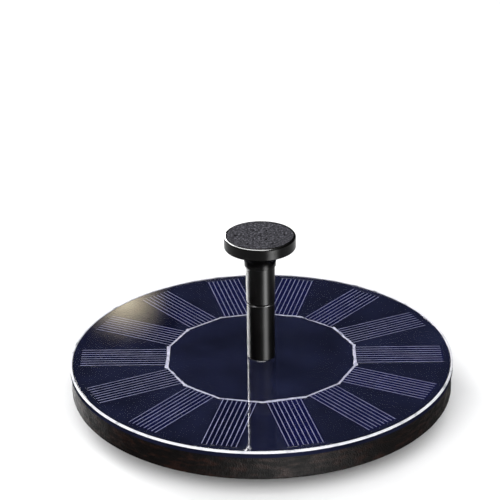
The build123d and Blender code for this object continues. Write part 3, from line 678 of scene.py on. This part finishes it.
def softbox(name, place, width, height, brightness, lit=(), through=True):
    """A rectangular lamp that faces the riser's foot. brightness is how bright its face looks.

    A lamp given lit pieces is a flagged one: cards keep its light off everything else. Its light
    passes through all other pieces and shows as a sheen alone, unless through is False.
    """
    riser_foot = Vector((0, 0, mm(30)))
    lamp = bpy.data.lights.new(name, "AREA")
    lamp.shape = "RECTANGLE"
    lamp.size = width
    lamp.size_y = height
    lamp.energy = brightness * pi * width * height
    box = bpy.data.objects.new(name, lamp)
    box.location = place
    box.rotation_euler = (riser_foot - Vector(place)).to_track_quat("-Z", "Y").to_euler()
    bpy.context.collection.objects.link(box)
    if lit:
        flagged = bpy.data.collections.new(name + "_lit")
        for part in lit:
            flagged.objects.link(part)
        box.light_linking.receiver_collection = flagged
        if through:
            box.light_linking.blocker_collection = flagged
            box.visible_diffuse = False


def white_floor():
    """A large sheet of matt white card, with a trace of tooth."""
    metres_across = 8
    bpy.ops.mesh.primitive_plane_add(size=metres_across)
    floor = bpy.context.object
    floor.name = "studio_floor"
    tones = ("#f4f4f4", "#fafafa")
    card = worked(
        "card_matt_white", tones, {"Specular IOR Level": 0.1},
        patch=60, gloss=(0.85, 0.95), grain=1.0, relief=0.01,
    )
    floor.data.materials.append(card)
    return floor


def glowing_card():
    """A round card behind the panel that glows warm in its middle and mirrors in the clear cover."""
    radius = mm(90)
    falloff = 2.0  # how fast the glow fades towards the card's edge
    brightness = 4.0  # in its middle
    bpy.ops.mesh.primitive_plane_add(size=2)
    card = bpy.context.object
    card.name = "glowing_card"
    material = bpy.data.materials.new("card_glowing_warm")
    material.use_nodes = True
    tree = material.node_tree
    tree.nodes.clear()
    place = node(tree, "TexCoord").outputs["Object"]
    fade = node(tree, "TexGradient", {"gradient_type": "SPHERICAL"}, {"Vector": place})
    soft = node(tree, "Math", {"operation": "POWER", 1: falloff}, {0: fade.outputs["Fac"]})
    power = node(tree, "Math", {"operation": "MULTIPLY", 1: brightness}, {0: soft.outputs["Value"]})
    glow = node(tree, "Emission", {"Color": linear("#fff0cc")}, {"Strength": power.outputs["Value"]})
    node(tree, "OutputMaterial", {}, {"Surface": glow.outputs["Emission"]})
    card.data.materials.append(material)
    card.scale = (radius, radius, 1)
    card.location = (-0.243, 2.38, 1.15)
    card.rotation_euler = (-card.location).to_track_quat("Z", "Y").to_euler()


floor = white_floor()
glowing_card()

softbox("overhead", (0, 0.1, 1.6), 2.4, 2.4, 0.85)
softbox("front_wide", round_about(180, 42, 1.9), 2.8, 1.4, 3.4)
softbox("rim_left", round_about(45, 24, 1.3), 0.7, 0.9, 6.0)
softbox("floor_front", round_about(180, 34, 1.6), 2.4, 0.6, 3.2, [floor], through=False)

# The flagged lamps stand a metre away, where the pieces that they are kept to mirror them. Those
# below the floor show in upright sides that are seen from above.
lower_tube = [nodes["lower_tube"]]
tubes = [*lower_tube, nodes["upper_tube"]]
head = [nodes["nozzle_body"]]
for name, bearing, elevation, width, height, brightness, lit in (
    ("riser_strip", -139, -26, 0.3, 0.42, 110.0, tubes + head),
    ("riser_rim", 32, -26, 0.5, 0.42, 125.0, tubes),
    ("riser_mirrored", 32, 26, 0.36, 0.42, 36.0, tubes),
    ("joint_right", -112, 54, 0.5, 0.2, 220.0, lower_tube),
    ("joint_left", 108, 52, 0.25, 0.16, 220.0, lower_tube),
    ("head_strip", 150, 66, 1.5, 0.5, 210.0, head),
    ("head_side", 64, 40, 0.6, 0.4, 160.0, head),
    ("head_left", 30, 18, 0.5, 0.3, 150.0, head),
    ("foam_front", -163, -26, 0.3, 0.3, 370.0, [foam]),
    ("foam_left", 39, -23, 0.5, 0.3, 36.0, [foam]),
):
    softbox(name, round_about(bearing, elevation, 1.0), width, height, brightness, lit)

world = bpy.data.worlds.new("dim_studio")
bpy.context.scene.world = world
world.use_nodes = True
backdrop = world.node_tree.nodes["Background"].inputs
backdrop["Color"].default_value = linear("#20242e")
backdrop["Strength"].default_value = 1.0

lens = bpy.data.cameras.new("camera")
lens.lens = 139.8
lens.sensor_width = 36
lens.clip_start = 0.05
camera = bpy.data.objects.new("camera", lens)
camera.location = (0, -0.7229, 0.401)
looked_at = Vector((-0.0041, 0, 0.0711))
roll = Matrix.Rotation(radians(-0.83), 3, "Z")
level = (looked_at - camera.location).to_track_quat("-Z", "Y").to_matrix()
camera.rotation_euler = (level @ roll).to_euler()
bpy.context.collection.objects.link(camera)
bpy.context.scene.camera = camera
bpy.context.scene.view_settings.view_transform = "Standard"

bpy.context.view_layer.update()
